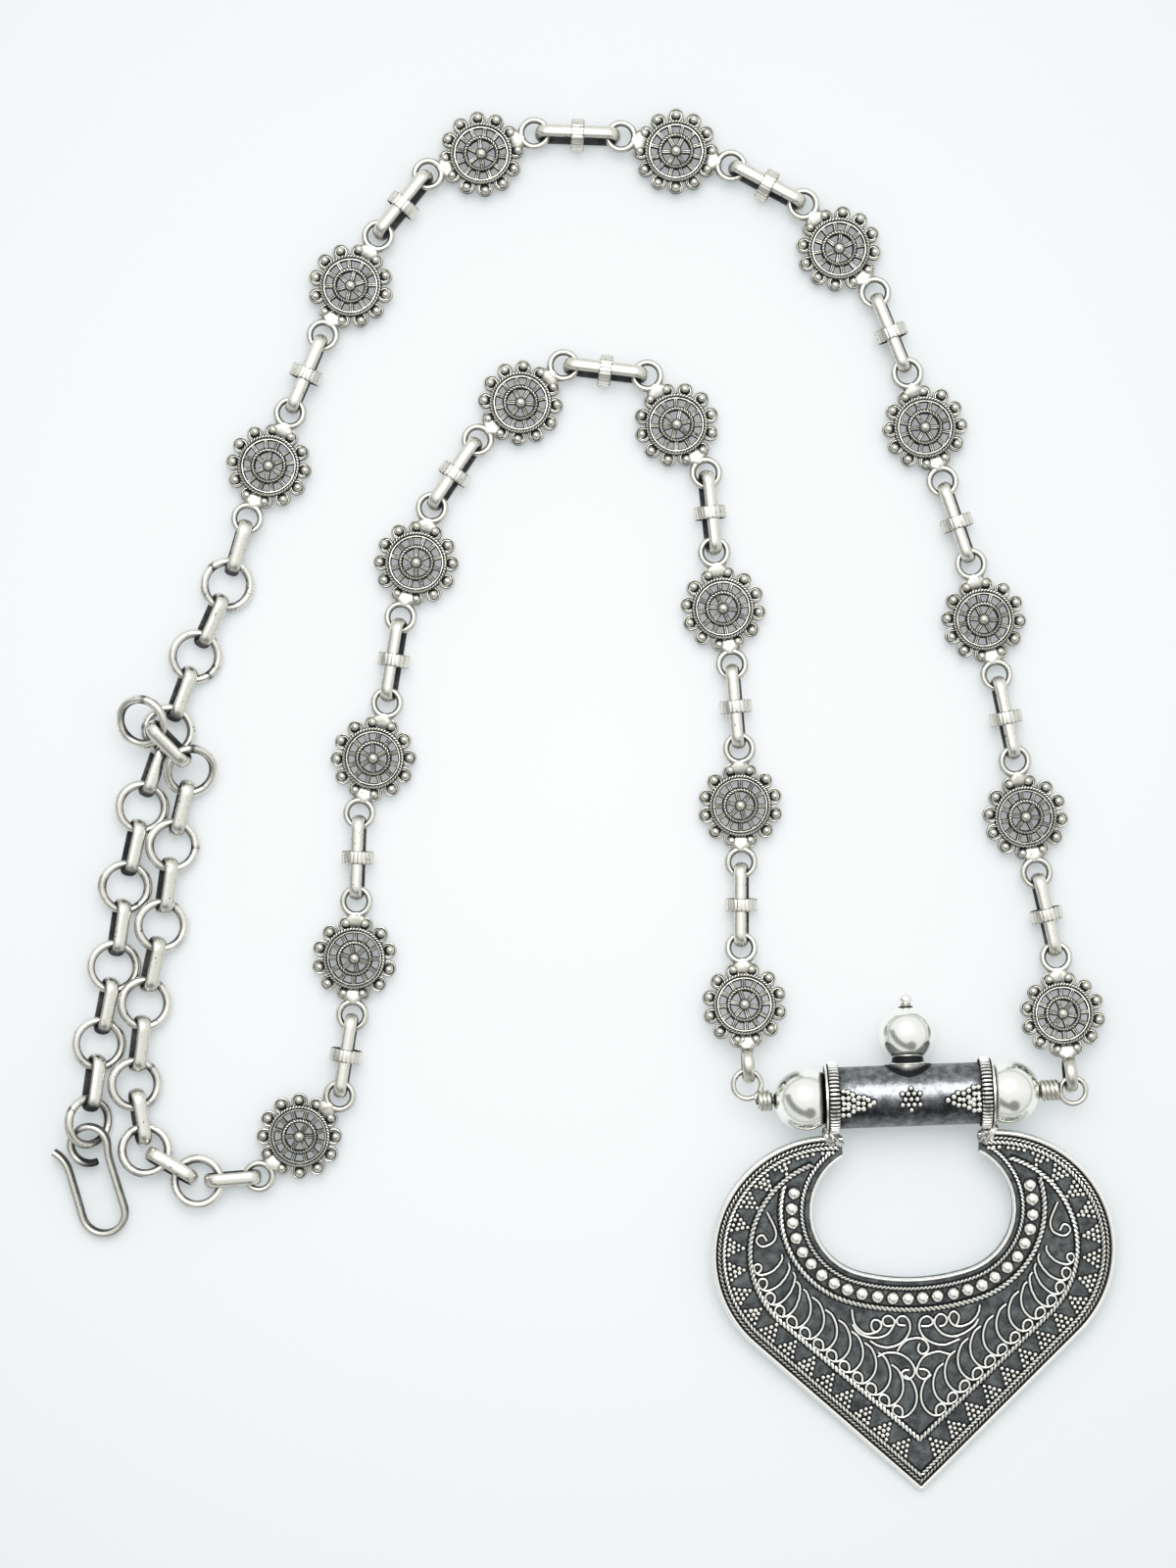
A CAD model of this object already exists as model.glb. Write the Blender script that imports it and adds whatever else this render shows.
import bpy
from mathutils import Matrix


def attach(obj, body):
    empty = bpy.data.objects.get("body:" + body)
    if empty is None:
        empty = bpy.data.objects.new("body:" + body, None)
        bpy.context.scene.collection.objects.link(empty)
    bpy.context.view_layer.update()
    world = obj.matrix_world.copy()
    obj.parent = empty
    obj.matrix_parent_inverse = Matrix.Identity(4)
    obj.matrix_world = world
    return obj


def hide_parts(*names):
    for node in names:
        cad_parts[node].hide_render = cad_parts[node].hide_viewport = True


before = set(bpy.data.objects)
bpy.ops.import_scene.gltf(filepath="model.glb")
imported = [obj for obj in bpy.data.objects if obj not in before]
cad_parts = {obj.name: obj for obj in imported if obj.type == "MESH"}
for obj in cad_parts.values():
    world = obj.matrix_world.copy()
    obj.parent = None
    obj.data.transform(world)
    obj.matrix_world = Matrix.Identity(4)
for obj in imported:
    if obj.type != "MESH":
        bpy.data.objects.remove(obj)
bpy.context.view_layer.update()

import bpy
import numpy as np

# Silver station necklace lying on a pale table, seen from straight above.
# Shapes are worked out in millimetres and put into the meshes in metres.

mm = 0.001
view = {"over": (0.86, 2.65), "height": 700.0, "widthSeen": 192.0, "focusZ": 3.0, "sensor": 36.0,
        "farthest": 10.0}

# Small maths


def unit(v):  # each vector divided by its own length
    return v / np.maximum(np.linalg.norm(v, axis=-1, keepdims=True), 1e-12)


def turn(axis, degrees):  # rotation matrix about one axis
    c, s = np.cos(np.radians(degrees)), np.sin(np.radians(degrees))
    return {"x": np.array([[1, 0, 0], [0, c, -s], [0, s, c]]),
            "y": np.array([[c, 0, s], [0, 1, 0], [-s, 0, c]]),
            "z": np.array([[c, -s, 0], [s, c, 0], [0, 0, 1]])}[axis]


def heading(degrees):  # unit vector in the plane at that angle
    return np.array([np.cos(np.radians(degrees)), np.sin(np.radians(degrees))])


def roundAngles(n):  # n even angles of a full turn
    return 2 * np.pi * np.arange(n) / n


def circle(r, n):  # n points round a circle
    return np.stack([r * np.cos(roundAngles(n)), r * np.sin(roundAngles(n))], -1)


def arcLength(points):  # distance run along a path up to each of its points
    return np.concatenate([[0], np.cumsum(np.linalg.norm(np.diff(points, axis=0), axis=1))])


def readAt(points, run, at):  # points read between their neighbours at places along a run
    return np.stack([np.interp(at, run, points[:, k]) for k in range(points.shape[1])], -1)


def resample(points, step, closed=False):
    # even steps along a path by straight interpolation of its arc length
    pts = np.vstack([points, points[:1]]) if closed else np.asarray(points, float)
    run = arcLength(pts)
    n = max(3, int(round(run[-1] / step)))
    at = np.linspace(0, run[-1], n + 1)
    return readAt(pts, run, at[:-1] if closed else at)


def smoothPath(points, per):  # Catmull-Rom curve: each stretch is a cubic from the four points round it
    p = np.asarray(points, float)
    p = np.vstack([2 * p[0] - p[1], p, 2 * p[-1] - p[-2]])
    t = np.arange(per)[:, None] / per
    a, b, c, d = (p[k:len(p) - 3 + k][:, None, :] for k in range(4))
    curve = 0.5 * (2 * b + (c - a) * t + (2 * a - 5 * b + 4 * c - d) * t ** 2
                   + (3 * b - a - 3 * c + d) * t ** 3)
    return np.vstack([curve.reshape(-1, p.shape[1]), p[-2:-1]])


def lift(points, z=0.0):  # plan points to space points at one height
    return np.column_stack([points, np.full(len(points), z)])


def onSides(points, side):  # plan points with their first coordinate times the side, 1 or -1
    return points * np.array([side, 1])


def sideAndUp(path, up, closed):  # sideways: the path's direction crossed with up; then up square to both
    along = np.roll(path, -1, 0) - np.roll(path, 1, 0) if closed else np.gradient(path, axis=0)
    side = unit(np.cross(along, np.broadcast_to(np.asarray(up, float), path.shape)))
    return side, unit(np.cross(side, along))


def gridFaces(index, after):  # four corners of every cell between the rows of a grid that goes round
    return np.stack([index[:-1], after[:-1], after[1:], index[1:]], -1).reshape(-1, 4)


def endFans(index, after, n):  # triangles from the first and the last row to the points n and n + 1
    around = index.shape[1]
    return np.vstack([np.stack([after[0], index[0], np.full(around, n)], -1),
                      np.stack([index[-1], after[-1], np.full(around, n + 1)], -1)])


# Shapes as grids

# strands off and thick by shares of a rope's width, its steps a turn, sides, and where tarnish starts
twist = {"off": 0.23, "strand": 0.27, "steps": 8, "sides": 7, "darkFrom": 0.8, "darkRate": 2.0}


class Shape:  # closed surfaces gathered into one mesh, each vertex with its share of tarnish

    def __init__(self):
        self.points, self.quads, self.tris, self.tarnish, self.count = [], [], [], [], 0

    def keep(self, points, quads, tris, tarnish):
        # one more surface, its faces counted on from the last one
        self.points.append(points)
        self.quads.append(quads + self.count)
        self.tris.append(tris + self.count)
        self.tarnish.append(tarnish)
        self.count += len(points)

    def add(self, points, quads, tris, tarnish):
        # faces are turned over where their volume, the sum of their corners' triple products, is negative
        points = points.reshape(-1, 3)
        tarnish = np.broadcast_to(np.ravel(tarnish) if np.ndim(tarnish) else tarnish, (len(points),))
        volume = 0.0
        for f in (quads[:, [0, 1, 2]], quads[:, [0, 2, 3]], tris):
            a, b, c = points[f[:, 0]], points[f[:, 1]], points[f[:, 2]]
            volume += np.einsum("ij,ij->i", a - points[0], np.cross(b - points[0], c - points[0])).sum()
        if volume < 0:
            quads, tris = quads[:, ::-1], tris[:, ::-1]
        self.keep(points, quads, tris, tarnish)

    def surface(self, grid, ring, tarnish=0.0):
        # grid[u, v]: v always goes round; u goes round too, or fans from the end rows' middles close it
        nu, nv = grid.shape[:2]
        index = np.arange(nu * nv).reshape(nu, nv)
        after = np.roll(index, -1, 1)
        rows = [np.vstack([g, g[:1]]) if ring else g for g in (index, after)]
        quads = gridFaces(*rows)
        points = grid.reshape(-1, 3)
        tarnish = np.broadcast_to(np.asarray(tarnish, float), (nu, nv)).reshape(-1)
        tris = np.zeros((0, 3), int)
        if not ring:
            points = np.vstack([points, grid[0].mean(0), grid[-1].mean(0)])
            tarnish = np.concatenate([tarnish, [tarnish[0], tarnish[-1]]])
            tris = endFans(index, after, nu * nv)
        self.add(points, quads, tris, tarnish)

    def sweep(self, path, profile, up=(0, 0, 1), closed=False, tarnish=0.0):
        # profile (sideways, up) carried along the path: each point is the path's plus its two shares
        path = np.asarray(path, float)
        side, up = sideAndUp(path, up, closed)
        profile = profile if profile.ndim == 3 else profile[None]
        grid = path[:, None] + side[:, None] * profile[..., :1] + up[:, None] * profile[..., 1:]
        self.surface(grid, closed, np.broadcast_to(np.asarray(tarnish, float), grid.shape[:2]))

    def lathe(self, profile, around, closed=False, tarnish=0.0, move=(0, 0, 0), frameTurn=None):
        # profile (radius, height) turned round Z, then the whole turned and moved
        a = roundAngles(around)
        p = np.asarray(profile, float)
        grid = np.stack([p[:, :1] * np.cos(a), p[:, :1] * np.sin(a), np.repeat(p[:, 1:], around, 1)], -1)
        grid = (grid if frameTurn is None else grid @ frameTurn.T) + np.asarray(move, float)
        tarnish = np.asarray(tarnish, float)
        self.surface(grid, closed, tarnish[:, None] if tarnish.ndim else tarnish)

    def rope(self, path, width, pitch, hand, closed=False, tarnish=(0.0, 1.0)):
        # two strands wound round the path, off it by a share of the width at an angle that grows along it;
        # the tarnish grows with the drop from the top
        step, sides, up = pitch / twist["steps"], twist["sides"], (0, 0, 1)
        path = resample(path, step, closed)
        side, rise = sideAndUp(path, up, closed)
        n = len(path)
        turns = max(1, round(n * step / pitch)) if closed else n * step / pitch
        for strand in (0, np.pi):
            a = strand + hand * 2 * np.pi * turns * np.arange(n) / n
            offset = width * twist["off"] * (np.cos(a)[:, None] * side + np.sin(a)[:, None] * rise)
            high = np.sin(a)[:, None] * twist["off"] + np.sin(roundAngles(sides))[None] * twist["strand"]
            drop = twist["darkFrom"] - high / (twist["off"] + twist["strand"])
            dark = np.clip(twist["darkRate"] * drop, 0, 1)
            shade = tarnish[0] + (tarnish[1] - tarnish[0]) * dark
            self.sweep(path + offset, circle(width * twist["strand"], sides), up, closed, shade)

    def balls(self, centres, radii, around=10, rows=5, tarnish=0.0, lowTarnish=None, squash=(1, 1, 1),
              edge=0.85, fall=1.25):
        # one ball of latitude rings and two poles at every centre, its tarnish growing downwards
        centres = np.atleast_2d(np.asarray(centres, float))
        radii = np.broadcast_to(np.asarray(radii, float), (len(centres),))
        lat = np.pi * (np.arange(1, rows + 1) / (rows + 1) - 0.5)
        lon = roundAngles(around)
        body = np.stack([np.cos(lat)[:, None] * np.cos(lon), np.cos(lat)[:, None] * np.sin(lon),
                         np.repeat(np.sin(lat)[:, None], around, 1)], -1).reshape(-1, 3)
        unitBall = np.vstack([body, [[0, 0, -1], [0, 0, 1]]])
        index = np.arange(rows * around).reshape(rows, around)
        after = np.roll(index, -1, 1)
        quads, tris = gridFaces(index, after), endFans(index, after, rows * around)
        n = len(unitBall)
        shift = (np.arange(len(centres)) * n)[:, None, None]
        points = centres[:, None] + radii[:, None, None] * unitBall * np.asarray(squash, float)
        shade = np.full(n, float(tarnish))
        if lowTarnish is not None:
            shade = tarnish + (lowTarnish - tarnish) * np.clip(edge - fall * unitBall[:, 2], 0, 1)
        self.add(points, (quads + shift).reshape(-1, 4), (tris + shift).reshape(-1, 3),
                 np.tile(shade, len(centres)))

    def placed(self, matrix, offset):  # this shape turned by a matrix and moved, faces kept
        out = Shape()
        points = np.vstack(self.points) @ np.asarray(matrix).T + np.asarray(offset, float)
        out.keep(points, np.vstack(self.quads), np.vstack(self.tris), np.concatenate(self.tarnish))
        return out

    def join(self, other):  # another shape's surfaces taken in
        self.keep(np.vstack(other.points), np.vstack(other.quads), np.vstack(other.tris),
                  np.concatenate(other.tarnish))

    def build(self, name, material, slotName, sharp=35.0):  # numpy arrays into a mesh, in metres
        points = np.vstack(self.points) * mm
        points[:, 2] = np.maximum(points[:, 2], 0.0)  # nothing sinks into the table
        quads, tris = np.vstack(self.quads), np.vstack(self.tris)
        mesh = bpy.data.meshes.new(name)
        mesh.vertices.add(len(points))
        mesh.vertices.foreach_set("co", points.astype(np.float32).ravel())
        mesh.loops.add(quads.size + tris.size)
        corners = np.concatenate([quads.ravel(), tris.ravel()])
        mesh.loops.foreach_set("vertex_index", corners.astype(np.int32))
        mesh.polygons.add(len(quads) + len(tris))
        starts = np.concatenate([np.arange(len(quads)) * 4, quads.size + np.arange(len(tris)) * 3])
        mesh.polygons.foreach_set("loop_start", starts.astype(np.int32))
        mesh.update(calc_edges=True)
        mesh.validate()
        mesh.polygons.foreach_set("use_smooth", np.ones(len(mesh.polygons), bool))
        mesh.set_sharp_from_angle(angle=np.radians(sharp))
        layer = mesh.attributes.new("tarnish", "FLOAT", "POINT")
        layer.data.foreach_set("value", np.clip(np.concatenate(self.tarnish), 0, 1).astype(np.float32))
        mesh.materials.append(material)
        piece = newObject(name, mesh)
        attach(piece, "root")
        return piece


def newObject(name, data):  # object of that data, in the scene
    thing = bpy.data.objects.new(name, data)
    bpy.context.scene.collection.objects.link(thing)
    return thing


# Finishes


class Wiring:  # nodes of one tree, each made with its settings, its values and the links into it

    def __init__(self, owner):
        tree = owner if isinstance(owner, bpy.types.NodeTree) else owner.node_tree
        self.nodes, self.links = tree.nodes, tree.links

    def feed(self, sockets, values):
        # another node's output is linked, anything else becomes the socket's own value
        for label, value in values.items():
            if isinstance(value, bpy.types.NodeSocket):
                self.links.new(value, sockets[label])
            else:
                sockets[label].default_value = value

    def node(self, kind, values=None, **settings):  # one node of that kind
        node = self.nodes.new("ShaderNode" + kind)
        for label, value in settings.items():
            setattr(node, label, value)
        self.feed(node.inputs, values or {})
        return node

    def maths(self, kind, *values, clamp=False):  # outcome of one operation
        return self.node("Math", dict(enumerate(values)), operation=kind, use_clamp=clamp).outputs[0]

    def smooth(self, value, low, high, start, end):
        # start below low, end above high, a soft step between them
        edges = {"Value": value, "From Min": low, "From Max": high, "To Min": start, "To Max": end}
        return self.node("MapRange", edges, interpolation_type="SMOOTHSTEP").outputs["Result"]

    def ramp(self, level, stops):  # colour read between stops of (level, colour)
        node = self.node("ValToRGB", {0: level})
        for k, (at, colour) in enumerate(stops):
            stop = node.color_ramp.elements[k] if k < 2 else node.color_ramp.elements.new(at)
            stop.position, stop.color = at, (*colour, 1)
        return node.outputs["Color"]


patinaLevels = ("Base Tarnish", "Cloud", "Scale", "Polish", "Dullness", "Scratch", "Pits")
patinaForm = {
    "bigDetail": 3.0, "bigRough": 0.55, "bigShare": 0.65,  # large cloud
    "fineTimes": 5.0, "fineDetail": 4.0, "fineRough": 0.65, "fineShare": 0.35,  # fine cloud, times its scale
    "pitFrom": 0.62, "pitRate": 14.0, "low": 0.05, "high": 0.95,  # where pits start, ends of the soft step
    "scratchScale": (900, 6500, 2500), "scratchTurn": (0.3, 0.2, 0.9), "scratchDetail": 2.0,
    "spread": 0.25, "scratchRough": 0.12, "metalLoss": 0.35, "fineHeight": 0.5,
}


def patinaGroup():
    # tarnish is a soft step of the piece's own share plus two sizes of cloud plus pits where the fine one
    # is highest; it mixes the bright metal into the dark one, dulls it and takes off some of its metal
    group = bpy.data.node_groups.new("silverPatina", "ShaderNodeTree")
    for label in ("Bright", "Dark"):
        group.interface.new_socket(name=label, in_out="INPUT", socket_type="NodeSocketColor")
    for label in patinaLevels:
        group.interface.new_socket(name=label, in_out="INPUT", socket_type="NodeSocketFloat")
    for label, kind in (("Color", "Color"), ("Roughness", "Float"), ("Metallic", "Float"),
                        ("Height", "Float")):
        group.interface.new_socket(name=label, in_out="OUTPUT", socket_type="NodeSocket" + kind)
    w, f = Wiring(group), patinaForm
    given, result = group.nodes.new("NodeGroupInput").outputs, group.nodes.new("NodeGroupOutput")
    maths = w.maths
    place = w.node("TexCoord").outputs["Object"]
    own = w.node("Attribute", attribute_name="tarnish").outputs["Fac"]

    def cloud(vector, scale, detail, rough):  # noise at the place
        return w.node("TexNoise", {"Vector": vector, "Scale": scale, "Detail": detail,
                                   "Roughness": rough}).outputs["Fac"]

    big = cloud(place, given["Scale"], f["bigDetail"], f["bigRough"])
    fine = cloud(place, maths("MULTIPLY", given["Scale"], f["fineTimes"]), f["fineDetail"], f["fineRough"])
    stretch = w.node("Mapping", {"Vector": place, "Scale": f["scratchScale"],
                                 "Rotation": f["scratchTurn"]}).outputs[0]
    scratch = w.node("TexNoise", {"Vector": stretch, "Scale": 1.0,
                                  "Detail": f["scratchDetail"]}).outputs["Fac"]
    # long thin noise, as the place is stretched along one direction
    scratch = maths("MULTIPLY", scratch, given["Scratch"])
    both = maths("ADD", maths("MULTIPLY", big, f["bigShare"]), maths("MULTIPLY", fine, f["fineShare"]))
    clouds = maths("MULTIPLY", maths("SUBTRACT", both, 0.5), 2.0)
    level = maths("ADD", maths("ADD", own, given["Base Tarnish"]),
                  maths("MULTIPLY", clouds, given["Cloud"]))
    pits = maths("MULTIPLY", maths("SUBTRACT", fine, f["pitFrom"]), f["pitRate"], clamp=True)
    level = maths("ADD", level, maths("MULTIPLY", pits, given["Pits"]))
    amount = w.smooth(level, f["low"], f["high"], 0.0, 1.0)
    # 6, 7 and output 2 are colours
    mix = w.node("Mix", {0: amount, 6: given["Bright"], 7: given["Dark"]}, data_type="RGBA")
    rough = maths("ADD", maths("MULTIPLY", amount, given["Dullness"]), given["Polish"])
    rough = maths("ADD", rough, maths("MULTIPLY", maths("SUBTRACT", fine, 0.5), f["spread"]))
    rough = maths("ADD", rough, maths("MULTIPLY", scratch, f["scratchRough"]), clamp=True)
    w.feed(result.inputs, {
        "Color": mix.outputs[2], "Roughness": rough,
        "Metallic": maths("SUBTRACT", 1.0, maths("MULTIPLY", amount, f["metalLoss"])),
        "Height": maths("ADD", scratch, maths("MULTIPLY", fine, f["fineHeight"]))})
    return group


patina = patinaGroup()
bumpDepth = 0.0001


def silver(name, bright, dark, levels, bump):
    # the patina group feeds the shader's colour, roughness and metal, and a bump
    material = bpy.data.materials.new(name)
    material.use_nodes = True
    w = Wiring(material)
    colours = {"Bright": (*bright, 1), "Dark": (*dark, 1)}
    own = w.node("Group", {}, node_tree=patina)
    w.feed(own.inputs, {**colours, **dict(zip(patinaLevels, levels))})
    lump = w.node("Bump", {"Strength": bump, "Distance": bumpDepth, "Height": own.outputs["Height"]})
    w.feed(w.nodes["Principled BSDF"].inputs, {
        "Base Color": own.outputs["Color"], "Roughness": own.outputs["Roughness"],
        "Metallic": own.outputs["Metallic"], "Normal": lump.outputs["Normal"]})
    return material


finishes = {name: silver(*row) for name, row in {  # name, bright and dark metal, the patina's levels, bump
    "station": ("stationSilver", (0.695, 0.685, 0.625), (0.033, 0.033, 0.034),
                (0.07, 0.45, 520, 0.27, 0.35, 0.15, 0.3), 0.25),
    "link": ("linkSilver", (0.79, 0.775, 0.715), (0.055, 0.058, 0.062),
             (0.0, 0.35, 300, 0.27, 0.35, 0.15, 0.5), 0.22),
    "chain": ("chainSilver", (0.79, 0.775, 0.715), (0.05, 0.053, 0.058),
              (0.02, 0.45, 330, 0.26, 0.4, 0.12, 0.7), 0.28),
    "wire": ("wireSilver", (0.75, 0.735, 0.675), (0.035, 0.036, 0.038),
             (0.07, 0.4, 400, 0.24, 0.4, 0.2, 0.4), 0.2),
    "bead": ("polishedSilver", (0.96, 0.965, 0.91), (0.05, 0.05, 0.05),
             (0.02, 0.22, 260, 0.17, 0.4, 0.2, 0.15), 0.05),
    "plate": ("oxidisedPlate", (0.56, 0.605, 0.605), (0.02, 0.022, 0.025),
              (0.06, 0.42, 700, 0.3, 0.2, 0.4, -0.3), 0.5),
    "raised": ("raisedSilver", (1.0, 0.99, 0.94), (0.02, 0.021, 0.023),
               (0.0, 0.25, 700, 0.2, 0.35, 0.3, 0.2), 0.2),
    "tube": ("gunmetalTube", (0.6, 0.62, 0.64), (0.025, 0.028, 0.033),
             (0.0, 0.5, 800, 0.22, 0.1, 0.5, -0.4), 0.45),
}.items()}
print("finishes made")

# Stations

wheel = {
    "bottom": -0.8, "top": 0.28, "ledge": -0.08,  # heights of the back, of the flat rings, of the ground
    "outerRing": 4.8, "outerRope": 0.56, "outerRopeUp": 0.22,  # twisted wire: radius, width, height
    "innerRing": 2.6, "innerRope": 0.5, "innerRopeUp": 0.2, "ropePitch": 1.02, "ropeTarnish": (0.0, 0.85),
    "outerSpoke": (2.92, 4.2), "innerSpoke": (0.5, 2.3), "hubBall": 0.95, "hubZ": 0.35,
    "petalAt": 5.68, "petalR": 1.34, "ballAt": 5.93, "petalBall": 0.79, "ballZ": 0.1,
    "outerWire": 0.155, "outerWireIn": 0.16, "innerWire": 0.11, "innerWireIn": 0.44,  # wires on a petal
    "loopAt": 9.28, "loopR": 2.175, "loopWire": 0.525,
    "uprightAt": 9.92, "uprightR": 3.0, "uprightT": 0.9, "uprightW": 2.0,  # loop at the pendant
}
loose = {"outerTurn": 0.8, "innerTurn": 1.0, "side": 0.03, "petal": 0.03, "ballTurn": 0.5, "ballAt": 0.04,
         "ballZ": 0.03}
outerBand = [  # outer flat ring: radius, level, height over that level, tarnish
    (4.08, "bottom", 0, 1), (4.08, "ledge", -0.03, 1), (4.18, "ledge", 0, 1), (4.2, "top", -0.05, 0.5),
    (4.24, "top", 0, 0.2), (4.4, "top", 0, 0.2), (4.44, "top", -0.1, 0.8), (4.5, "top", -0.1, 0.8),
    (4.56, "top", -0.02, 0.5), (5.0, "top", -0.02, 0.75), (5.14, "top", -0.23, 0.9),
    (5.14, "bottom", 0, 0.9)]
innerBand = [  # inner flat ring, the same columns
    (2.2, "bottom", 0, 1), (2.2, "ledge", -0.03, 1), (2.31, "ledge", 0, 1), (2.34, "top", -0.06, 0.7),
    (2.39, "top", 0, 0.6), (2.81, "top", 0, 0.6), (2.87, "top", -0.06, 0.7), (2.9, "ledge", 0, 1),
    (3.01, "ledge", -0.03, 1), (3.01, "bottom", 0, 1)]
web = {"around": 28, "z": 0.06, "waves": 0.05, "rough": 0.025, "tarnish": 0.55, "topWear": 0.45,
       "patches": 0.15}
webRows = np.array([  # solder between petals and loop: distance out, half width, half height
    (5.2, 1.3, 0.2), (5.5, 1.95, 0.36), (5.9, 2.2, 0.44), (6.3, 2.05, 0.5), (6.7, 1.6, 0.52),
    (7.1, 1.15, 0.52), (7.45, 0.9, 0.45)])


def roundWear(wire, deep=0.6, inner=0.0):
    # tarnish round a wire: the square of the drop from the top, and more on the inner side of a ring
    r = np.abs(wire).max()
    return np.clip(deep * (1 - wire[:, 1] / r) ** 2 + inner * np.clip(-wire[:, 0] / r, 0, 1) ** 2, 0, 1)


def spoke(shape, start, end, angle, side):
    # two light strips with a groove between them on a wider dark strip, carried outwards from the hub
    low, top, ledge = wheel["bottom"], wheel["top"] - 0.04, wheel["ledge"]
    right = np.array([(0.03, top - 0.08), (0.06, top), (0.24, top), (0.29, top - 0.06), (0.31, ledge),
                      (0.38, ledge - 0.03), (0.38, low)])
    shade = np.array([0.85, 0.42, 0.42, 0.6, 1.0, 1.0, 1.0])
    across = side * heading(angle + 90)
    path = np.array([[*(heading(angle) * at + across), 0] for at in (start, (start + end) / 2, end)])
    shape.sweep(path, np.vstack([onSides(right[::-1], -1), right]),
                tarnish=np.concatenate([shade[::-1], shade]))


# shares of thickness, two powers, share of width
barSection = {"side": 0.22, "dome": 0.8, "corner": 0.9, "inside": 0.42}


def halfRound(width, thick, n=9):
    # (outwards, across): a flat inner face and a full domed outer face by powers of cosine and sine
    f = barSection
    a = np.linspace(-90, 90, n)
    c, t = np.cos(np.radians(a)), np.sin(np.radians(a))
    dome = np.stack([thick * (f["side"] + (1 - f["side"]) * np.abs(c) ** f["dome"]),
                     width / 2 * np.sign(t) * np.abs(t) ** f["corner"]], -1)
    return np.vstack([dome, [[0, width * f["inside"]], [0, -width * f["inside"]]]])


def solderWeb(shape, way, rise, rng):
    # solder from the two petals to the loop: ellipses across the axis, wide, then narrow, with low lumps
    f, n = web, web["around"]
    out, wide, high = webRows[:, :1], webRows[:, 1:2], webRows[:, 2:]
    a = roundAngles(n)
    wave, rough = np.sin(3 * a + 6 * rng.random()), rng.normal(size=(len(webRows), n))
    lumps = 1 + f["waves"] * wave + f["rough"] * rough
    up = f["z"] + high * np.sin(a) * lumps + rise * (out - out[0]) / 2
    grid = np.stack([np.repeat(way * out, n, 1), wide * np.cos(a) * lumps, up], -1)
    patches = f["patches"] * rng.normal(size=(len(webRows), n))
    shape.surface(grid, False, np.clip(f["tarnish"] - f["topWear"] * np.sin(a) + patches, 0, 1))


def petals(s, rng):  # twelve cups with a thick and a thin wire round the rim of each, and a ball in each
    r = wheel["petalR"]
    low = wheel["bottom"]
    cup = [(0.02, low), (r - 0.12, low), (r, low + 0.15), (r, -0.1), (r - 0.12, 0.0), (0.02, -0.05)]
    outerWire, innerWire = circle(wheel["outerWire"], 8), circle(wheel["innerWire"], 6)
    balls = []
    for k in range(12):
        angle = 15 + 30 * k
        c = heading(angle) * (wheel["petalAt"] + rng.normal(0, loose["petal"]))
        s.lathe(cup, 22, False, [0.6, 0.6, 0.7, 0.8, 1.0, 1.0], (*c, 0))
        s.lathe(outerWire + np.array([r - wheel["outerWireIn"], 0.04]), 22, True, roundWear(outerWire),
                (*c, 0))
        s.lathe(innerWire + np.array([r - wheel["innerWireIn"], 0.03]), 18, True,
                0.2 + roundWear(innerWire), (*c, 0))
        way = heading(angle + rng.normal(0, loose["ballTurn"]))
        balls.append((*(way * (wheel["ballAt"] + rng.normal(0, loose["ballAt"]))),
                      wheel["ballZ"] + rng.normal(0, loose["ballZ"])))
    s.balls(balls, wheel["petalBall"], 12, 5, 0.0, 1.0)


def stationShape(seed, upright):
    # wheel: two flat rings under ropes, spokes, a hub ball, twelve petals of wire round a ball, and loops
    rng = np.random.default_rng(seed)
    s = Shape()
    low, top = wheel["bottom"], wheel["top"]
    for band, around in ((outerBand, 96), (innerBand, 64)):
        profile = [(r, wheel[level] + up) for r, level, up, _ in band]
        s.lathe(profile, around, True, [row[3] for row in band])
    s.lathe([(0.02, low), (0.7, low), (0.85, 0.0), (0.02, 0.2)], 20, False, 1.0)
    for k in range(12):
        spoke(s, *wheel["outerSpoke"], 30 * k + rng.normal(0, loose["outerTurn"]),
              rng.normal(0, loose["side"]))
    for k in range(6):
        spoke(s, *wheel["innerSpoke"], 15 + 60 * k + rng.normal(0, loose["innerTurn"]),
              rng.normal(0, loose["side"]))
    s.balls([[0, 0, wheel["hubZ"]]], wheel["hubBall"], 24, 12, 0.0, 1.0)
    for which, n, hand in (("outer", 160, 1), ("inner", 96, -1)):
        path = lift(circle(wheel[which + "Ring"], n), top + wheel[which + "RopeUp"])
        s.rope(path, wheel[which + "Rope"], wheel["ropePitch"], hand, True, wheel["ropeTarnish"])
    petals(s, rng)
    wire = circle(wheel["loopWire"], 12)
    for way in ((1,) if upright else (1, -1)):
        loop = circle(wheel["loopR"], 40) + np.array([way * wheel["loopAt"], 0])
        s.sweep(lift(loop), wire, closed=True, tarnish=roundWear(wire, 0.45, 0.7))
        solderWeb(s, way, 0.0, rng)
    if upright:
        ring = circle(wheel["uprightR"] - wheel["uprightT"], 56)
        path = np.column_stack([ring[:, 0] - wheel["uprightAt"], np.zeros(len(ring)), ring[:, 1]])
        worn = [0.35] + [0.05] * 7 + [0.35] + [0.9] * 2
        s.sweep(path, halfRound(wheel["uprightW"], wheel["uprightT"]), (0, -1, 0), True, worn)
        solderWeb(s, -1, 0.1, rng)
    return s


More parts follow.
